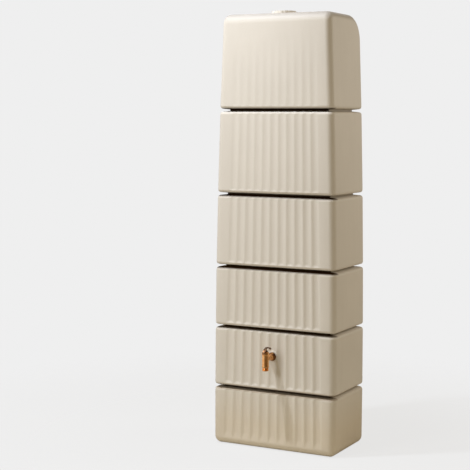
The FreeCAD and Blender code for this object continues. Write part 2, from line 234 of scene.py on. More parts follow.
def grid_faces(rows, columns, closed_rows=False):
    """Faces between rings of points, and from the last ring to the first where the rows close."""
    faces = []
    for i in range(rows if closed_rows else rows - 1):
        a = i * columns
        b = (i + 1) % rows * columns
        for j in range(columns):
            k = (j + 1) % columns
            faces.append((a + j, a + k, b + k, b + j))
    return faces


def closed_stack(name, rows, matrix=None):
    """A closed solid from a stack of rings of points, capped at both ends."""
    count = len(rows[0])
    last = (len(rows) - 1) * count
    faces = grid_faces(len(rows), count)
    faces.append(tuple(range(count - 1, -1, -1)))
    faces.append(tuple(range(last, last + count)))
    return mesh_object(name, np.concatenate(rows), faces, matrix)


def ring(angles, radius, height):
    """Points round the Z axis; radius and height are one value, or one for each angle."""
    heights = np.zeros(len(angles)) + height
    return np.stack([radius * np.cos(angles), radius * np.sin(angles), heights], 1)


def lathe(name, profile, matrix, segments=64, shape=None):
    """Turns a closed profile of (radius, height) points about the matrix's Z axis."""
    angles = np.linspace(0, TURN, segments, endpoint=False)
    rows = []
    for radius, height in profile:
        around = shape(radius, height, angles) if shape else radius
        rows.append(ring(angles, around, height))
    if profile[0][0] == AXIS:
        return closed_stack(name, rows, matrix)
    faces = grid_faces(len(rows), segments, closed_rows=True)
    return mesh_object(name, np.concatenate(rows), faces, matrix)


def upright(x=0.0, y=TAP_Y):
    """Local Z runs upwards, from the ground."""
    return Matrix.Translation((x, y, 0.0))


def towards_wall(y=0.0):
    """Local Z runs along +Y at the tap's level."""
    return Matrix.Translation((0, y, TAP_Z)) @ Matrix.Rotation(math.radians(-90), 4, "X")


def rounded(profile, steps=4, closed=True):
    """Rounds the corners of a profile of (radius, height, corner's rounding) points."""
    corners = [np.array(point[:2], float) for point in profile]
    out = []
    for i, p in enumerate(corners):
        before, after = corners[i - 1], corners[(i + 1) % len(corners)]
        rounding = profile[i][2]
        if rounding <= 0 or (not closed and i in (0, len(corners) - 1)):
            out.append(tuple(p))
            continue
        side_a, side_b = np.linalg.norm(before - p), np.linalg.norm(after - p)
        way_a, way_b = (before - p) / side_a, (after - p) / side_b
        half = math.acos(max(-1, min(1, float(way_a @ way_b)))) / 2
        # A corner that is nearly straight stays as it is
        if half > math.radians(88):
            out.append(tuple(p))
            continue
        # Each end of a side gives up less than half of it
        cut = min(rounding / math.tan(half), 0.47 * side_a, 0.47 * side_b)
        p0, p1 = p + way_a * cut, p + way_b * cut
        for k in range(steps + 1):
            t = k / steps
            out.append(tuple((1 - t) ** 2 * p0 + 2 * t * (1 - t) * p + t ** 2 * p1))
    return out


def smoothstep(a, b, x):
    t = np.clip((np.asarray(x, float) - a) / (b - a), 0, 1)
    return t * t * (3 - 2 * t)


def stepped(low, high, step):
    """Even steps from low to high, close to the step asked for."""
    count = max(2, int(round((high - low) / step)))
    return np.linspace(low, high, count + 1)


def coarse_thread(height, angles, foot, turns):
    """A rounded thread's ridge from 0 to 1, which rises and fades at its two ends."""
    turn = (height - foot) / FILLER_PITCH - angles / TURN
    wave = np.clip(1 - np.abs((turn % 1.0) - 0.5) / RIDGE_HALF, 0, 1)
    inside = smoothstep(0.0, RIDGE_FADE, turn) * (1 - smoothstep(turns - RIDGE_FADE, turns, turn))
    return smoothstep(0, 1, wave) * inside


def fine_thread(crest, root, low, high, rings):
    """A fine thread's profile, in which every third ring stands out."""
    heights = np.linspace(low, high, rings)
    return [(root if i % 3 else crest, height) for i, height in enumerate(heights)]


def hexagon_form(flat, inner, chamfers):
    """Ring radius of a hexagon whose corners are turned down by (radius, level, slope) chamfers."""
    def form(radius, height, angles):
        if radius < inner:
            return radius
        turned = min(start + max(0.0, (height - level) * slope) for start, level, slope in chamfers)
        return np.minimum(flat / np.cos(np.mod(angles, math.pi / 3) - math.pi / 6), turned)
    return form


# Material tools
def new_tree(owner):
    owner.use_nodes = True
    owner.node_tree.nodes.clear()
    return owner.node_tree


def add_node(tree, kind, inputs=None, **settings):
    """A shader node, each of whose inputs takes a value or another node's output."""
    node = tree.nodes.new("ShaderNode" + kind)
    for name, value in settings.items():
        setattr(node, name, value)
    for key, value in (inputs or {}).items():
        socket = node.inputs[key]
        if isinstance(value, bpy.types.NodeSocket):
            tree.links.new(value, socket)
        elif socket.type == "RGBA":
            socket.default_value = (*value, 1.0)
        else:
            socket.default_value = value
    return node


def coordinates(tree, kind="Object"):
    return add_node(tree, "TexCoord").outputs[kind]


def axes(tree, vector):
    """A vector's outputs by the names X, Y and Z."""
    return add_node(tree, "SeparateXYZ", {0: vector}).outputs


def noise(tree, scale, detail, rough, stretch=(1, 1, 1)):
    """Noise on the piece's own coordinates, which the stretch scales along each axis."""
    vector = add_node(tree, "Mapping", {"Vector": coordinates(tree), "Scale": stretch}).outputs[0]
    inputs = {"Vector": vector, "Scale": scale, "Detail": detail, "Roughness": rough}
    return add_node(tree, "TexNoise", inputs).outputs["Fac"]


def ramp(tree, value, stops):
    node = add_node(tree, "ValToRGB", {0: value})
    points = node.color_ramp.elements
    while len(points) < len(stops):
        points.new(0.5)
    for point, (position, color) in zip(points, stops):
        point.position = position
        point.color = (*color, 1.0)
    return node.outputs[0]


def span(tree, value, low, high, from_low=0.0, from_high=1.0, **settings):
    """The value's way from from_low to from_high, told as a way from low to high."""
    inputs = {0: value, 1: from_low, 2: from_high, 3: low, 4: high}
    return add_node(tree, "MapRange", inputs, **settings).outputs[0]


def math_node(tree, operation, a, b):
    return add_node(tree, "Math", {0: a, 1: b}, operation=operation).outputs[0]


def bump(tree, height, strength, distance, normal=None):
    inputs = {"Height": height, "Strength": strength, "Distance": distance}
    if normal is not None:
        inputs["Normal"] = normal
    return add_node(tree, "Bump", inputs).outputs[0]


def mix_color(tree, share, a, b, blend="MIX"):
    inputs = {0: share, 6: a, 7: b}
    return add_node(tree, "Mix", inputs, data_type="RGBA", blend_type=blend).outputs[2]


def tinted(tree, base, tint, share=1.0):
    """The base colour, multiplied by the tint as far as the share goes."""
    return mix_color(tree, share, base, tint, "MULTIPLY")


def mix_shader(tree, share, a, b):
    return add_node(tree, "MixShader", {0: share, 1: a, 2: b}).outputs[0]


def finished(name, tree_inputs):
    """A material with one principled shader, whose inputs tree_inputs(tree) gives."""
    mat = bpy.data.materials.new(name)
    tree = new_tree(mat)
    shader = add_node(tree, "BsdfPrincipled", tree_inputs(tree))
    add_node(tree, "OutputMaterial", {0: shader.outputs[0]})
    return mat


def srgb(*values):
    """Linear colour from eight bit values."""
    out = []
    for v in values:
        c = v / 255.0
        out.append(c / 12.92 if c <= 0.04045 else ((c + 0.055) / 1.055) ** 2.4)
    return tuple(out)


def shade(color, factor, lift=0.0):
    return tuple(min(1.0, c * factor + lift) for c in color)


WHITE = (1.0, 1.0, 1.0)
# The slits' tones of painted shade from the lowest groove up, and the tone across a slit by the
# height from its groove's middle in millimetres, where None stands for the groove's own tone and
# the values below 1 beside it darken the lips with painted shade
SLIT_SHADE_TONES = (0.1, 0.085, 0.06, 0.04, 0.03)
SLIT_SHADE_EDGES = ((-8.4, 1.0), (-7.8, 0.6), (-7.1, None), (6.1, None), (6.7, 0.5), (7.4, 1.0))
# Powers that turn a slit's painted shade tone into its red, green and blue
SLIT_SHADE_TINT = (1.0, 1.25, 1.6)
# The slits' painted shade is full in front of the first depth, in metres, and behind the second one
# only this share of it is left
SLIT_SHADE_DEPTHS = (-0.124, -0.114)
SIDE_SLIT_SHADE = 0.15
# Painted shade, darker and warmer towards the foot: full up to the first level in metres and gone
# at the second
FOOT_SHADE = (0.965, 0.915, 0.83)
FOOT_SHADE_LEVELS = (0.1, 0.27)
# The top's painted shade, which tones down the light from above: its levels in metres, and how far
# its faces look up
TOP_SHADE = (0.66, 0.655, 0.66)
TOP_SHADE_LEVELS = (1.73, 1.77)
TOP_SHADE_LEAN = (0.1, 0.75)
# How far the normal leans outwards, for each metre from the middle
BOW = 0.5
# Painted shade, darker where a piece stands close to the tank, by the depth in metres
NEAR_WALL_SHADE = (0.16, 0.12, 0.1)
NEAR_WALL_SHADE_DEPTHS = (-0.186, -0.172)


def painted_slit_and_foot_shade(tree, base):
    """Painted shade down the slits and towards the foot, by the height on the tank: colour, gloss.
    """
    place = axes(tree, coordinates(tree))
    # Painted shade: dark brown in each slit, a lighter step on its lips
    stops = [(0.0, WHITE)]
    for groove, dark in zip(GROOVES, SLIT_SHADE_TONES):
        for offset, tone in SLIT_SHADE_EDGES:
            tone = dark if tone is None else tone
            stops.append(((groove + offset) / HEIGHT, tuple(tone ** p for p in SLIT_SHADE_TINT)))
    slit_shade = ramp(tree, math_node(tree, "DIVIDE", place["Z"], HEIGHT * MM), stops)
    gloss = math_node(tree, "MULTIPLY", math_node(tree, "MULTIPLY", slit_shade, slit_shade), 0.5)
    # Painted shade, darker and warmer towards the foot
    base = tinted(tree, base, FOOT_SHADE, span(tree, place["Z"], 1.0, 0.0, *FOOT_SHADE_LEVELS))
    # The front's slits get more painted shade than the plain sides'
    front = span(tree, place["Y"], 1.0, SIDE_SLIT_SHADE, *SLIT_SHADE_DEPTHS)
    return tinted(tree, base, slit_shade, front), gloss


def painted_top_shade(tree, base, normal):
    """Painted shade: the level top is darker than the lips, to tone down the light from above."""
    high = span(tree, axes(tree, coordinates(tree))["Z"], 0.0, 1.0, *TOP_SHADE_LEVELS)
    level = span(tree, axes(tree, normal)["Z"], 0.0, 1.0, *TOP_SHADE_LEAN)
    return tinted(tree, base, TOP_SHADE, math_node(tree, "MULTIPLY", high, level))


def bowed_normal(tree):
    """The broad front catches light as if bowed by some millimetres across its width."""
    normal = add_node(tree, "NewGeometry").outputs["Normal"]
    lean = math_node(tree, "MULTIPLY", axes(tree, coordinates(tree))["X"], BOW)
    tilt = add_node(tree, "CombineXYZ", {"X": lean}).outputs[0]
    total = add_node(tree, "VectorMath", {0: normal, 1: tilt}, operation="ADD").outputs[0]
    return add_node(tree, "VectorMath", {0: total}, operation="NORMALIZE").outputs[0]


def moulded_plastic(name, color, grain=1.0, slits=False):
    """Rotation moulded plastic: fine even grain, faint flow clouds, a soft sheen."""
    def inputs(tree):
        clouds = noise(tree, 4.0, 5.0, 0.55)
        streaks = noise(tree, 42.0, 4.0, 0.6, (1.0, 1.0, 0.12))
        specks = noise(tree, 420.0, 3.0, 0.6)
        fine = noise(tree, 1500.0, 2.0, 0.5)
        base = ramp(tree, clouds, [(0.3, shade(color, 0.972)), (0.7, shade(color, 1.02))])
        for value, low, dull in ((streaks, 0.3, (0.982, 0.98, 0.975)),
                                 (specks, 0.35, (0.975, 0.97, 0.965))):
            base = tinted(tree, base, ramp(tree, value, [(low, dull), (0.65, WHITE)]))
        normal = bowed_normal(tree)
        out = {"IOR": 1.46, "Roughness": span(tree, specks, 0.5, 0.64)}
        # Painted shade down the slits and towards the foot
        if slits:
            base, out["Specular IOR Level"] = painted_slit_and_foot_shade(tree, base)
        # Painted shade on the level top
        out["Base Color"] = painted_top_shade(tree, base, normal)
        first = bump(tree, fine, 0.2 * grain, 0.0004, normal)
        out["Normal"] = bump(tree, specks, 0.22 * grain, 0.0007, first)
        return out

    return finished(name, inputs)


def turned_metal(name, color, patina, rough, patches=(0.42, 0.62), wall_shade=0.0):
    """Turned and tarnished metal with fine tool lines, darker patches and painted shade near the
    tank.
    """
    def inputs(tree):
        clouds = noise(tree, 75.0, 6.0, 0.62)
        tool = noise(tree, 240.0, 3.0, 0.55, (1.0, 1.0, 16.0))
        pits = noise(tree, 900.0, 3.0, 0.6)
        base = ramp(tree, clouds, [(patches[0], patina), (patches[1], color)])
        pitted = ramp(tree, pits, [(0.3, (0.86, 0.84, 0.82)), (0.6, WHITE)])
        base = tinted(tree, base, pitted)
        depth = axes(tree, coordinates(tree))["Y"]
        # Painted shade where the piece stands close to the tank
        near = span(tree, depth, 0.0, wall_shade, *NEAR_WALL_SHADE_DEPTHS)
        cloudy = math_node(tree, "MULTIPLY", clouds, -0.6)
        mixed = math_node(tree, "ADD", cloudy, math_node(tree, "MULTIPLY", tool, 0.4))
        first = bump(tree, pits, 0.2, 0.0001)
        return {
            "Base Color": tinted(tree, base, NEAR_WALL_SHADE, near),
            "Roughness": span(tree, mixed, *rough, -0.2, 0.0),
            "Normal": bump(tree, tool, 0.15, 0.0001, first),
            "Metallic": 1.0,
        }

    return finished(name, inputs)


def seal_material(name, color, rough):
    """Moulded seal rubber or seal plastic with a faint cloudiness."""
    def inputs(tree):
        clouds = noise(tree, 180.0, 4.0, 0.6)
        return {
            "Base Color": ramp(tree, clouds, [(0.35, color), (0.7, shade(color, 1.3, 0.004))]),
            "Roughness": span(tree, clouds, rough - 0.06, rough + 0.06),
            "Normal": bump(tree, clouds, 0.2, 0.0002),
        }

    return finished(name, inputs)


SLOTS = {
    "tank_plastic": moulded_plastic("tank_plastic", srgb(229, 222, 211), slits=True),
    "cap_plastic": moulded_plastic("cap_plastic", srgb(240, 234, 223), grain=0.8),
    "tap_brass": turned_metal("tap_brass", (0.95, 0.53, 0.23), (0.86, 0.38, 0.12), (0.12, 0.2),
                              (0.36, 0.6), wall_shade=0.9),
    "insert_brass": turned_metal("insert_brass", (0.72, 0.52, 0.26), (0.5, 0.33, 0.15),
                                 (0.3, 0.45)),
    "lever_metal": turned_metal("lever_metal", (0.26, 0.13, 0.06), (0.12, 0.06, 0.03), (0.3, 0.44)),
    "stem_steel": turned_metal("stem_steel", (0.56, 0.53, 0.5), (0.42, 0.4, 0.37), (0.25, 0.4)),
    "seal_rubber": seal_material("seal_rubber", (0.012, 0.012, 0.013), 0.6),
    "seal_white": seal_material("seal_white", (0.74, 0.74, 0.72), 0.45),
}
# The CAD's own nodes
for row in frame["record"]["subparts"]:
    materials = frame["nodes"][row["node"]].data.materials
    materials.clear()
    materials.append(SLOTS[row["material_slot"]])


# Tank skin: rings of points, one for each level
def half_width(z):
    rise = z - WIDEST_LEVEL
    return HALF_WIDTH - SIDE_BOW + math.sqrt(SIDE_BOW * SIDE_BOW - rise * rise)


def level_width(z):
    """Straight between the grooves, so each tier is a plain taper."""
    levels = (0.0,) + GROOVES + (HEIGHT,)
    return float(np.interp(z, levels, [half_width(level) for level in levels]))


def groove_profile(inset):
    """Half of a groove's section as heights from its middle and depths, moved in by the inset."""
    lines = []
    for (d0, h0), (d1, h1) in zip(GROOVE_SECTION, GROOVE_SECTION[1:]):
        slope = (h1 - h0) / (d1 - d0)
        lines.append((slope, h0 - slope * d0 + inset * math.hypot(1, slope)))
    mouth = lines[0][1] + lines[0][0] * inset
    corners = [(mouth + LIP_WALL, 0.0, 0), (mouth, 0.0, LIP_ROUND)]
    for (s0, c0), (s1, c1) in zip(lines, lines[1:]):
        depth = (c1 - c0) / (s0 - s1)
        corners.append((c0 + s0 * depth, depth - inset, THROAT_ROUND))
    root = GROOVE_SECTION[-1][0]
    corners.append((lines[-1][1] + lines[-1][0] * (root + inset), root, ROOT_ROUND))
    corners.append((0.0, root, 0))
    smooth = rounded(corners, 6, closed=False)
    return [height for height, depth in smooth], [depth for height, depth in smooth]


GROOVE_OUT = groove_profile(0.0)
GROOVE_IN = groove_profile(WALL)


def groove_depth(z, inset):
    heights, depths = GROOVE_IN if inset else GROOVE_OUT
    gap = min(abs(groove - z) for groove in GROOVES)
    if gap >= heights[0]:
        return 0.0
    return float(np.interp(gap, heights[::-1], depths[::-1]))


def flute_shape():
    """One flute's depth across its pitch, from ridge to ridge, with its edges softened."""
    samples, reach = 400, 50
    share = np.linspace(-0.5, 0.5, samples + 1)
    depth = np.clip(1 - (share / (FLUTE_SHARE / 2)) ** 2, 0, None)
    kernel = np.exp(-0.5 * np.linspace(-3, 3, 2 * reach + 1) ** 2)
    padded = np.concatenate([depth[-reach - 1:-1], depth, depth[1:reach + 1]])
    soft = np.convolve(padded, kernel / kernel.sum(), mode="same")[reach:-reach]
    soft -= soft.min()
    return share, soft / soft.max()


FLUTE_U, FLUTE_FORM = flute_shape()


def front_points(per_flute):
    """Points across the front, in pitches from its middle, and the full flutes' depth there."""
    share = np.linspace(-FLUTES / 2, FLUTES / 2, FLUTES * per_flute + 1)
    return share, FLUTE_DEPTH * np.interp((share + 0.5) % 1.0 - 0.5, FLUTE_U, FLUTE_FORM)


FRONT_OUT = front_points(10)
FRONT_IN = front_points(5)


def flute_depths(z, front_form):
    """Depth of the flutes at a level: they end in a slope just above each groove and the foot."""
    below = [groove for groove in GROOVES if groove <= z]
    start = below[-1] + FLUTE_START if below else FLUTE_FOOT
    slope = FLUTE_SLOPES[0 if below else 1]
    form = front_form * FLUTE_TIERS[len(below)]
    limit = FLUTE_DEPTH * float(smoothstep(-FLUTE_LEAD, slope, z - start))
    if limit <= 0:
        return form * 0
    # A soft lesser of the two, which stays defined where both are nothing
    depth = form * limit / (form ** 3 + limit ** 3 + 1e-6) ** (1 / 3)
    return depth * (1.0 - float(smoothstep(*FLUTE_FADE, z)))


CORNER_STEPS = 12
# A corner's radius at a groove's root is no less
CORNER_LEAST = 6.0
# How far in from both plain walls the centre lies from which a corner's points are cast
REACH = 48.0
ARC = np.linspace(0, math.pi / 2, CORNER_STEPS + 1)
RAYS = np.arctan2(REACH - CORNER + CORNER * np.sin(ARC), REACH - CORNER + CORNER * np.cos(ARC))
# Length next to the foot's and the top's rounds in which the corners are drawn as they are there
END_MARGIN = 8.0


def corner_rays(depth, inset):
    """A corner's points as (x, y) from the centre of its rays."""
    size = REACH - inset - depth
    radius = max(CORNER - inset - depth, CORNER_LEAST)
    centre = size - radius
    out = []
    for angle in RAYS:
        c, s = math.cos(angle), math.sin(angle)
        if size * s / c <= centre:
            out.append((size, size * s / c))
        elif size * c / s <= centre:
            out.append((size * c / s, size))
        else:
            along = centre * (c + s)
            beyond = along * along - 2 * centre * centre + radius * radius
            far = along + math.sqrt(max(0.0, beyond))
            out.append((far * c, far * s))
    return out


def tier_corners(width, depth, inset):
    """Front and back corner along the tiers and grooves, both from the front to the back."""
    x0, y0 = width + inset - REACH, HALF_DEPTH - REACH
    rays = corner_rays(depth, inset)
    return [(x0 + x, -y0 - y) for x, y in rays[::-1]], [(x0 + x, y0 + y) for x, y in rays]


def wall_at(z, inset, offset, top_radius):
    """Distance of the front or back wall from the middle, for a profile moved in by the offset."""
    for rise, radius in ((z - (HEIGHT - top_radius), top_radius), (BASE_EDGE - z, BASE_EDGE)):
        if rise > 0:
            reach = radius - inset - offset
            return HALF_DEPTH - radius + math.sqrt(max(0.0, reach * reach - rise * rise))
    return HALF_DEPTH - inset - offset


def end_corners(z, width, inset):
    """Front and back corner near the foot and the top, where the walls round over."""
    radius = CORNER - inset
    room = min(radius, HEIGHT - inset - z, z - inset)
    start = math.asin(min(1.0, max(0.0, 1.0 - room / radius)))
    front, back = [], []
    for angle in np.linspace(start, math.pi / 2, CORNER_STEPS + 1):
        offset = radius * (1 - math.sin(angle))
        x = width - radius + radius * math.cos(angle)
        front.append((x, -wall_at(z, inset, offset, TOP_FRONT)))
        back.append((x, wall_at(z, inset, offset, TOP_BACK)))
    return front[::-1], back


def section(z, inset=0.0):
    """The outline at a level, anticlockwise from the front's left end."""
    width = level_width(z) - inset
    depth = groove_depth(z, inset)
    across, front_form = FRONT_IN if inset else FRONT_OUT
    flutes = flute_depths(z, front_form)
    if z < BASE_EDGE + END_MARGIN or z > HEIGHT - TOP_BACK - END_MARGIN:
        front_corner, back_corner = end_corners(z, width, inset)
        face = front_corner[0][1]
        cut = np.clip(flutes - (face + HALF_DEPTH - inset), 0, None)
    else:
        front_corner, back_corner = tier_corners(width, depth, inset)
        face = inset - HALF_DEPTH
        # A soft greater of flute and groove, so that the flutes run out through the lips
        cut = np.where(flutes > 0.01, (flutes ** 4 + depth ** 4) ** 0.25, depth)
    xs = across * (PITCH_BASE + (PITCH_TOP - PITCH_BASE) * z / HEIGHT)
    xs = xs * min(1.0, (front_corner[0][0] - FLUTE_GAP) / xs[-1])
    front = [(x, face + c) for x, c in zip(xs, cut)]
    (x0, y0), (x1, y1) = front_corner[-1], back_corner[0]
    side = [(x0 + (x1 - x0) * t, y0 + (y1 - y0) * t) for t in (0.25, 0.5, 0.75)]
    x, y = back_corner[-1]
    back = [(x * (1 - 2 * t), y) for t in np.linspace(0, 1, 11)[1:-1]]
    right = front_corner + side + back_corner
    left = [(-x, y) for x, y in right[::-1]]
    return [(x, y, z) for x, y in front + right + back + left]


def row_levels(inset=0.0):
    """The rings' levels, close together in the grooves, at the flutes' ends and on the rounds."""
    heights, every, arcs = (GROOVE_IN[0], 3, 7) if inset else (GROOVE_OUT[0], 1, 13)
    levels = set()
    for groove in GROOVES:
        for height in heights[::every]:
            levels.update((groove - height, groove + height))
        for rise in (-1.5, 1.0, 3.5, 6.0, 8.5, 11.0, 15.0):
            levels.add(groove + (FLUTE_START + rise))
    for angle in np.linspace(0, math.pi / 2, arcs):
        levels.add(HEIGHT - inset - (TOP_FRONT - inset) * (1 - math.sin(angle)))
        levels.add(inset + (BASE_EDGE - inset) * (1 - math.sin(angle)))
    top_start, end_start = HEIGHT - TOP_BACK, BASE_EDGE + END_MARGIN
    levels.update(top_start + TOP_BACK * share for share in (0.0, 0.12, 0.24, 0.36, 0.47, 0.56))
    levels.update(np.linspace(FLUTE_FADE[0], top_start - END_MARGIN - 0.1, 8))
    foot = (FLUTE_FOOT - 1.5, 30.0, 33.0, end_start - 0.1, end_start + 0.1, 44.0, 51.0, 60.0)
    levels.update(foot)
    for low, high in zip(foot[-1:] + GROOVES, GROOVES + FLUTE_FADE[:1]):
        levels.update(low + (high - low) * share for share in (0.3, 0.5, 0.7))
    # Levels that nearly meet are thinned out, which keeps the rings apart
    low, high = inset, HEIGHT - inset
    kept = [low]
    for level in sorted(float(v) for v in levels if low + 0.02 < v < high - 0.02) + [high]:
        if level - kept[-1] > 0.04 or level == high:
            kept.append(level)
    return kept


def neck_thread(radius, height, angles):
    """Nearly two turns of a rounded thread round the filler neck."""
    if radius < NECK_RADIUS - 1.0:
        return radius
    return radius + NECK_RIDGE * coarse_thread(height, angles, WELL_FLOOR + 2.0, NECK_TURNS)


def build_tank():
    """The hollow moulding: the skin less its hollow, with well, neck, pad and the tap's pocket."""
    filler, pad_place = upright(y=FILLER_Y), towards_wall(PAD_FACE)
    outside = closed_stack("tank_skin", [section(z) for z in row_levels()])
    hollow = closed_stack("hollow", [section(z, WALL) for z in row_levels(WALL)])
    low, high = WELL_FLOOR - WALL, HEIGHT + 4.0
    well_wall = [(AXIS, low), (WELL_RADIUS + WALL, low), (WELL_RADIUS + WALL, high), (AXIS, high)]
    boss = rounded([(AXIS, -6.0, 0), (27.5, -6.0, 0), (25.5, 10.0, 6.0), (25.0, BOSS_DEPTH, 3.0),
                    (20.0, BOSS_DEPTH, 0), (AXIS, BOSS_DEPTH, 0)], closed=False)
    walls = [lathe("well_wall", well_wall, filler), lathe("boss", boss, pad_place)]
    combine(hollow, walls, "DIFFERENCE")

    well = rounded([(NECK_RADIUS, WELL_FLOOR, 1.6), (WELL_RADIUS, WELL_FLOOR, 2.0),
                    (WELL_RADIUS, HEIGHT, 1.4), (60.0, HEIGHT + 0.6, 0), (60.0, HEIGHT + 9.0, 0),
                    (NECK_RADIUS, HEIGHT + 9.0, 0)])
    combine(outside, [lathe("well", well, filler, 96)], "DIFFERENCE")
    neck = [(NECK_BORE, WELL_FLOOR - 3.0), (NECK_RADIUS, WELL_FLOOR - 3.0)]
    neck += [(NECK_RADIUS, z) for z in stepped(WELL_FLOOR - 0.5, NECK_TOP - 1.2, 0.28)]
    neck += [(42.6, NECK_TOP - 0.4), (41.8, NECK_TOP), (38.2, NECK_TOP), (37.3, NECK_TOP - 0.5),
             (NECK_BORE, NECK_TOP - 1.4)]
    pad = [(AXIS, 0.0), (20.4, 0.0), (21.4, 0.15), (21.9, 0.6), (PAD_RADIUS, 1.1),
           (PAD_RADIUS, 9.0), (AXIS, 9.0)]
    added = [lathe("neck", neck, filler, 96, neck_thread), lathe("pad", pad, pad_place, 96)]
    combine(outside, added, "UNION")

    mouth = [(AXIS, WELL_FLOOR - 12.0), (38.6, WELL_FLOOR - 12.0), (38.6, low), (37.4, low + 0.5),
             (NECK_BORE, low + 1.6), (NECK_BORE, WELL_FLOOR + 5.0), (AXIS, WELL_FLOOR + 5.0)]
    pocket = [(AXIS, -1.0), (INSERT_RADIUS, -1.0), (INSERT_RADIUS, INSERT_DEPTH),
              (SHANK_RADIUS, INSERT_DEPTH), (SHANK_RADIUS, BOSS_DEPTH + 1.0),
              (AXIS, BOSS_DEPTH + 1.0)]
    cutters = [hollow, lathe("mouth", mouth, filler, 96), lathe("pocket", pocket, pad_place)]
    return combine(outside, cutters, "DIFFERENCE")


finish_piece(build_tank(), "tank", "tank_plastic", "tank_body", sharp=46.0)


# Filler cap
def cap_form(radius, height, angles):
    """Finger grips round the outside, a thread round the inside."""
    if radius > CAP_BORE + 0.1:
        half = math.pi / GRIPS
        off = (angles + half) % (2 * half) - half
        across = GRIP_RING * np.sin(off)
        bite = GRIP_RING * np.cos(off) - np.sqrt(np.clip(GRIP_RADIUS ** 2 - across ** 2, 0, None))
        edge = np.where(np.abs(across) < GRIP_RADIUS, np.minimum(bite, CAP_RADIUS), CAP_RADIUS)
        return radius + edge - CAP_RADIUS
    if radius > CAP_BORE - 0.1 and height < CAP_ROOF - 0.5:
        return radius - CAP_RIDGE * coarse_thread(height, angles, CAP_FOOT + 1.0, CAP_TURNS)
    return radius


def build_cap():
    """A low screw cap with a raised rim, a raised middle and a vent."""
    dip, middle = CAP_TOP - 0.8, CAP_TOP - 0.2
    outer = rounded([(47.2, CAP_FOOT, 0), (CAP_RADIUS, CAP_FOOT, 0.5), (CAP_RADIUS, CAP_TOP, 2.2),
                     (45.5, CAP_TOP, 0.6), (44.3, dip, 0.6), (8.0, dip, 0.5), (7.2, middle, 0.4),
                     (3.0, middle, 0.4), (2.0, dip, 0.3), (CAP_VENT, CAP_TOP - 1.4, 0)],
                    closed=False)
    rim = next(i for i, (radius, z) in enumerate(outer) if z > CAP_TOP - 2.6)
    side = [(CAP_RADIUS, z) for z in stepped(CAP_FOOT + 1.2, CAP_TOP - 3.0, 1.5)]
    inside = [(CAP_VENT, CAP_ROOF), (45.9, CAP_ROOF), (CAP_BORE, CAP_ROOF - 0.6)]
    inside += [(CAP_BORE, z) for z in stepped(CAP_FOOT + 0.6, CAP_ROOF - 1.0, 0.3)[::-1]]
    profile = outer[:rim] + side + outer[rim:] + inside
    return lathe("cap_skin", profile, upright(y=FILLER_Y), 192, cap_form)


finish_piece(build_cap(), "cap", "cap_plastic", "filler_cap")


# Tap pieces, each about the tap's upright axis or along its neck
def build_neck():
    """The level neck and shank, with a cast fillet that follows the barrel's round."""
    angles = np.linspace(0, TURN, 72, endpoint=False)
    rows = [ring(angles, 6.0, 0.0)]
    for turn in np.linspace(math.pi / 2, 0, 7):
        radius = LEVEL_NECK + FILLET - FILLET * math.cos(turn)
        side = np.clip(radius * np.cos(angles), -BARREL_WAIST, BARREL_WAIST)
        seat = np.sqrt((BARREL_WAIST + 0.05) ** 2 - side ** 2)
        rows.append(ring(angles, radius, seat + (FILLET - FILLET * math.sin(turn))))
    profile = [(LEVEL_NECK, 20.0), (LEVEL_NECK, 33.0), (11.6, 33.5), (11.8, 34.4), (11.6, 35.3),
               (LEVEL_NECK, 35.8), (LEVEL_NECK, 47.0), (11.5, 47.9), (12.9, 49.5),
               (SHANK_RADIUS, 50.0)]
    profile += fine_thread(SHANK_RADIUS, SHANK_ROOT, 50.6, SHANK_END - 1.0, 58)
    profile += [(13.0, SHANK_END)]
    rows += [ring(angles, radius, height) for radius, height in profile]
    return closed_stack("neck", rows, towards_wall(TAP_Y))


def build_tap_body():
    """Barrel, neck and shank, with the nozzle's well, the plug's chamber and the waterway."""
    foot, top = BARREL_FOOT, BARREL_TOP
    outer = rounded([(AXIS, foot, 0), (BARREL_RADIUS, foot, 0.8), (BARREL_RADIUS, foot + 6.5, 0.7),
                     (BARREL_WAIST, foot + 7.4, 0.7), (BARREL_WAIST, top - 10.8, 0.7),
                     (BARREL_RADIUS, top - 9.8, 0.7), (BARREL_RADIUS, top, 0.9), (AXIS, top, 0)])
    body = lathe("tap_casting", outer, upright(), 96)
    combine(body, [build_neck()], "UNION")
    well = [(AXIS, foot - 1.0), (11.6, foot - 1.0), (11.0, foot + 0.5), (11.0, NOZZLE_SEAT),
            (WATERWAY, NOZZLE_SEAT), (WATERWAY, CHAMBER_FLOOR), (CHAMBER_RADIUS, CHAMBER_FLOOR),
            (CHAMBER_RADIUS, CHAMBER_ROOF), (11.2, CHAMBER_ROOF), (11.2, top - 0.5),
            (11.7, top + 1.0), (AXIS, top + 1.0)]
    bore = [(AXIS, 0.0), (9.0, 0.0), (9.0, 13.5), (WATERWAY, 13.5), (WATERWAY, SHANK_END - 0.8),
            (8.5, SHANK_END + 1.0), (AXIS, SHANK_END + 1.0)]
    cutters = [lathe("well", well, upright()), lathe("bore", bore, towards_wall(TAP_Y))]
    return combine(body, cutters, "DIFFERENCE")


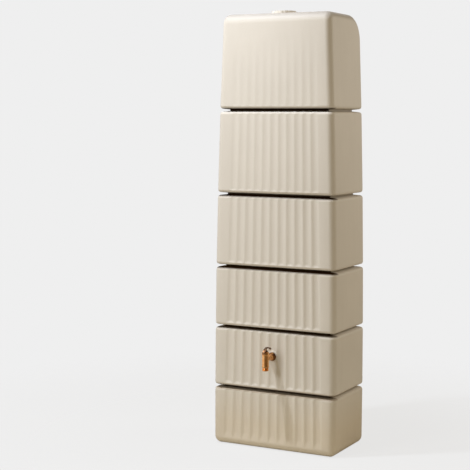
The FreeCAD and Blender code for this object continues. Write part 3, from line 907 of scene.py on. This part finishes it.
def build_bonnet():
    """The nut that closes the barrel, with its thread below and holes for stem and stop pin."""
    foot, top, flat = BARREL_TOP, BONNET_TOP, BONNET_FLAT
    head = [(AXIS, foot), (9.0, foot)]
    head += [(flat, z) for z in (foot, foot + 0.35, top - 1.0, top - 0.7, top - 0.4, top)]
    head += [(8.3, top), (7.9, top - 0.4), (6.6, top - 0.4), (6.2, top), (AXIS, top)]
    form = hexagon_form(flat, flat - 0.1, ((flat + 0.2, foot, 2.0), (flat, top, -1.6)))
    nut = lathe("bonnet_skin", head, upright(), 96, form)
    thread = [(AXIS, CHAMBER_ROOF)]
    thread += fine_thread(11.15, 10.6, CHAMBER_ROOF + 0.4, foot - 0.2, 20)
    thread += [(flat, foot + 0.6), (AXIS, foot + 0.6)]
    combine(nut, [lathe("thread", thread, upright(), 72)], "UNION")
    low = CHAMBER_ROOF - 1.0
    bore = [(AXIS, low), (5.1, low), (5.1, top - 0.4), (5.6, top + 0.5), (AXIS, top + 0.5)]
    pin = [(AXIS, foot + 0.4), (1.1, foot + 0.4), (1.1, top + 1.0), (AXIS, top + 1.0)]
    angle = math.radians(STOP_ANGLES[0])
    pin_place = upright(STOP_RING * math.cos(angle), TAP_Y + STOP_RING * math.sin(angle))
    cutters = [lathe("bore", bore, upright()), lathe("pin_hole", pin, pin_place, 24)]
    return combine(nut, cutters, "DIFFERENCE")


def build_lock_nut():
    profile = [(SHANK_HOLE, 0.0), (14.4, 0.0), (NUT_FLAT, 0.02)]
    profile += [(NUT_FLAT, rise) for rise in (0.5, 1.0, 1.5, 2.0, 2.5, 3.0, 5.6, 6.0)]
    profile += [(SHANK_HOLE, 6.0)]
    form = hexagon_form(NUT_FLAT, NUT_FLAT - 1.6, ((NUT_FLAT - 0.35, 0.0, 1.0),))
    return lathe("lock_nut_skin", profile, towards_wall(NUT_FACE), 96, form)


def build_flange():
    profile = rounded([(SHANK_HOLE, FLANGE_FACE, 0), (16.4, FLANGE_FACE, 1.2),
                       (17.7, FLANGE_FACE + 0.9, 1.2), (18.0, GASKET_FACE - 0.9, 0.5),
                       (17.6, GASKET_FACE, 0.4), (SHANK_HOLE, GASKET_FACE, 0)])
    return lathe("flange_skin", profile, towards_wall(), 96)


def nozzle_thread(radius, height, angles):
    """A fine rounded groove that winds round the nozzle."""
    if radius < NOZZLE_RADIUS - 0.1:
        return radius
    turn = (height - (NOZZLE_FOOT + 1.6)) / NOZZLE_PITCH - angles / TURN
    wave = 0.5 - 0.5 * np.cos(TURN * turn)
    inside = smoothstep(*NOZZLE_START, turn) * (1 - smoothstep(*NOZZLE_END, turn))
    return radius - NOZZLE_GROOVE * inside * wave


def build_nozzle():
    """The threaded mouth, with the spigot that sits in the barrel's well."""
    foot = NOZZLE_FOOT
    profile = [(NOZZLE_MOUTH, foot + 0.6), (9.9, foot), (12.4, foot), (13.0, foot + 0.5)]
    profile += [(NOZZLE_RADIUS, z) for z in stepped(foot + 1.1, 360.4, 0.24)]
    spigot = NOZZLE_SEAT - 0.2
    profile += [(13.1, 361.0), (10.95, 361.0), (10.95, spigot - 0.5), (10.4, spigot),
                (WATERWAY, spigot), (WATERWAY, 357.5), (NOZZLE_MOUTH, 354.0)]
    return lathe("nozzle_skin", profile, upright(), 96, nozzle_thread)


def arc_through(a, b, c):
    """Centre and radius of the circle through three points of a plane."""
    a, b, c = (np.array(point) for point in (a, b, c))
    centre = np.linalg.solve(2 * np.array([b - a, c - a]), [b @ b - a @ a, c @ c - a @ a])
    return centre, float(np.hypot(*(a - centre)))


def signed_power(value, exponent):
    return math.copysign(abs(value) ** exponent, value)


def end_share(gap, length, power, loss):
    """What is left of a bar's width or thickness at a gap from its end."""
    return 1 - max(0.0, 1 - gap / length) ** power * loss


def lever_bar():
    """An arched bar of rounded section, with soft ends and a shallow hollow for the thumb."""
    centre, radius = arc_through(*LEVER_LINE)
    tip, _, heel = (math.atan2(z - centre[1], y - centre[0]) for y, z in LEVER_LINE)
    length = abs(heel - tip) * radius
    across, upwards = LEVER_SECTION
    rim = [(signed_power(math.cos(t), across), signed_power(math.sin(t), upwards))
           for t in np.linspace(0, TURN, 32, endpoint=False)]
    ends = [0.0, 0.15, 0.5, 1.1, 2.0, 3.2, 4.8, 6.5]
    stations = ends + list(np.linspace(8.5, length - 8.5, 40)) + [length - v for v in ends[::-1]]
    rows = []
    for along in stations:
        gap = min(along, length - along)
        angle = tip + (heel - tip) * along / length
        width = LEVER_HALF_WIDTH * end_share(gap + 0.25, *LEVER_ENDS[0])
        thick = LEVER_HALF_THICK * end_share(gap, *LEVER_ENDS[1])
        row = []
        for u, v in rim:
            hollow = LEVER_HOLLOW * (1 - u * u) * max(0.0, v)
            out = radius - LEVER_HALF_THICK + v * thick - hollow
            y, z = centre[0] + out * math.cos(angle), centre[1] + out * math.sin(angle)
            row.append((u * width, y, z))
        rows.append(row)
    return closed_stack("lever_skin", rows)


def hub_form(radius, height, angles):
    """The hub's ring, cut back to its neck along the stop pin's slot."""
    if radius < HUB_NECK + 0.1:
        return radius
    play = math.degrees(math.asin(STOP_PLAY / STOP_RING))
    turn = np.degrees(angles)
    slot = (turn > STOP_ANGLES[0] - play) & (turn < STOP_ANGLES[1] + play)
    return np.where(slot, HUB_NECK, radius)


def build_lever():
    """The bar over its hub, with the stem's square below and the screw's seat above."""
    bar = lever_bar()
    hub = [(AXIS, HUB_FOOT), (10.1, HUB_FOOT), (10.5, HUB_FOOT + 0.4), (10.5, HUB_TOP - 0.6),
           (9.9, HUB_TOP), (AXIS, HUB_TOP)]
    low, high = HUB_TOP - 1.2, HUB_NECK_TOP
    neck = [(AXIS, low), (HUB_NECK, low), (HUB_NECK, high), (AXIS, high)]
    added = [lathe("hub", hub, upright(), 180, hub_form), lathe("hub_neck", neck, upright())]
    combine(bar, added, "UNION")
    half = STEM_HALF
    corners = ((-half, -half), (half, -half), (half, half), (-half, half))
    rows = [[(x, y, z) for x, y in corners] for z in (HUB_FOOT - 1.0, STEM_TOP)]
    square = closed_stack("square", rows, upright())
    seat = [(AXIS, STEM_TOP - 1.4), (2.0, STEM_TOP - 1.4), (2.0, high), (4.0, high), (4.0, 445.0),
            (AXIS, 445.0)]
    return combine(bar, [square, lathe("seat", seat, upright(), 48)], "DIFFERENCE")


for build, node in ((build_tap_body, "tap_body"), (build_bonnet, "bonnet_nut"),
                    (build_lock_nut, "lock_nut"), (build_flange, "wall_flange"),
                    (build_nozzle, "outlet_nozzle")):
    finish_piece(build(), "tank", "tap_brass", node)
finish_piece(build_lever(), "valve", "lever_metal", "lever_handle")


# Camera, lamps, backdrop and floor
def add_object(name, data, location):
    obj = bpy.data.objects.new(name, data)
    obj.location = location
    bpy.context.scene.collection.objects.link(obj)
    return obj


def turn_to(obj, rotation):
    obj.rotation_mode = "QUATERNION"
    obj.rotation_quaternion = rotation


def camera_turn(yaw, pitch, roll):
    """Rotation of a camera turned left from +Y by the yaw, then down by the pitch, in degrees."""
    yaw, pitch, roll = (math.radians(angle) for angle in (yaw, pitch, roll))
    level = math.cos(pitch)
    forward = Vector((-math.sin(yaw) * level, math.cos(yaw) * level, -math.sin(pitch)))
    right = Vector((math.cos(yaw), math.sin(yaw), 0.0))
    up = right.cross(forward)
    rolled_right = right * math.cos(roll) + up * math.sin(roll)
    rolled_up = up * math.cos(roll) - right * math.sin(roll)
    return Matrix((rolled_right, rolled_up, -forward)).transposed().to_quaternion()


# The camera that was fitted to the photograph's outline: place in metres, yaw, pitch and roll
# in degrees, lens and sensor in millimetres
CAMERA_PLACE = (2.2324, -4.7509, 1.3758)
CAMERA_ANGLES = (27.7, 5.34, 0.23)
camera_data = bpy.data.cameras.new("camera")
camera_data.lens = 95.9
camera_data.sensor_width = 36.0
camera_data.clip_start = 0.1
camera_data.clip_end = 60.0
camera = add_object("camera", camera_data, CAMERA_PLACE)
turn_to(camera, camera_turn(*CAMERA_ANGLES))
bpy.context.scene.camera = camera

# Name, place, target, disk size, power and colour
LAMPS = (
    ("key", (-0.912, -1.072, 3.711), (0, -0.16, 0.35), 0.2, 71, (0.94, 1.0, 1.1)),
    ("left_soft", (-1.3, -3.2, 1.7), (-0.1, -0.1, 0.4), 1.2, 33, (0.97, 1.0, 1.03)),
    ("back_soft", (2.1, 1.7, 1.9), (0, 0.0, 0.9), 1.6, 22, (1.0, 0.98, 0.95)),
)
for name, place, target, size, watts, color in LAMPS:
    data = bpy.data.lights.new(name, "AREA")
    data.shape = "DISK"
    data.size = size
    data.energy = watts
    data.color = color
    direction = Vector(target) - Vector(place)
    turn_to(add_object(name, data, place), direction.to_track_quat("-Z", "Y"))

WORLD_LIGHT = (1.0, 0.81, 0.52)
# The world's strength, and its lower strength in reflections
WORLD_STRENGTHS = (0.29, 0.15)
# Where a reflection's direction turns from pale to dim, from left to right
PALE_DIRECTIONS = (-0.5, 0.05)
BACKDROP = (0.863, 0.863, 0.863)
FLOOR_GREY = (0.86, 0.86, 0.86)
# What the floor throws back on the tank is duller and warmer than what the camera sees
FLOOR_BOUNCE = (0.58, 0.545, 0.45)
# Share of the floor's colour that comes from the backdrop's glow
FLOOR_GLOW = 0.84
# Distances in metres between which the floor fades into the backdrop
FLOOR_FADE = (0.5, 2.2)
FLOOR_HALF = 6.0
FLOOR_DROP = 0.0003


def seen_rays(tree):
    """One for rays from the camera and through glass, then one for glossy rays."""
    path = add_node(tree, "LightPath").outputs
    seen = math_node(tree, "MAXIMUM", path["Is Camera Ray"], path["Is Transmission Ray"])
    return seen, path["Is Glossy Ray"]


def build_world():
    """Warm even light, and the pale backdrop that the camera sees in its place."""
    world = bpy.data.worlds.new("world")
    bpy.context.scene.world = world
    tree = new_tree(world)
    seen, glossy = seen_rays(tree)
    strength = span(tree, glossy, *WORLD_STRENGTHS)
    light = add_node(tree, "Background", {"Color": WORLD_LIGHT, "Strength": strength})
    back = add_node(tree, "Background", {"Color": BACKDROP, "Strength": 1.0})
    # Glossy reflections see the pale surroundings on the left and dimmer ones on the right
    direction = axes(tree, coordinates(tree, "Generated"))
    left = span(tree, direction["X"], 1.0, 0.0, *PALE_DIRECTIONS)
    share = math_node(tree, "MAXIMUM", seen, math_node(tree, "MULTIPLY", glossy, left))
    mixed = mix_shader(tree, share, light.outputs[0], back.outputs[0])
    add_node(tree, "OutputWorld", {0: mixed})


def floor_material():
    """A pale floor that keeps the object's shadow and fades into the backdrop."""
    mat = bpy.data.materials.new("floor")
    tree = new_tree(mat)
    seen, _ = seen_rays(tree)
    color = mix_color(tree, seen, FLOOR_BOUNCE, FLOOR_GREY)
    diffuse = add_node(tree, "BsdfDiffuse", {"Color": color}).outputs[0]
    glow = add_node(tree, "Emission", {"Color": BACKDROP}).outputs[0]
    near = mix_shader(tree, math_node(tree, "MULTIPLY", seen, FLOOR_GLOW), diffuse, glow)
    clear = add_node(tree, "BsdfTransparent").outputs[0]
    away = add_node(tree, "VectorMath", {0: coordinates(tree)}, operation="LENGTH").outputs["Value"]
    fade = span(tree, away, 0.0, 1.0, *FLOOR_FADE, interpolation_type="SMOOTHSTEP")
    add_node(tree, "OutputMaterial", {0: mix_shader(tree, fade, near, clear)})
    return mat


def build_floor():
    half = FLOOR_HALF
    mesh = bpy.data.meshes.new("floor")
    mesh.from_pydata([(-half, -half, 0), (half, -half, 0), (half, half, 0), (-half, half, 0)],
                     [], [(0, 1, 2, 3)])
    mesh.materials.append(floor_material())
    add_object("floor", mesh, (0, 0, -FLOOR_DROP))


build_world()
build_floor()

bpy.context.scene.view_settings.view_transform = "Standard"
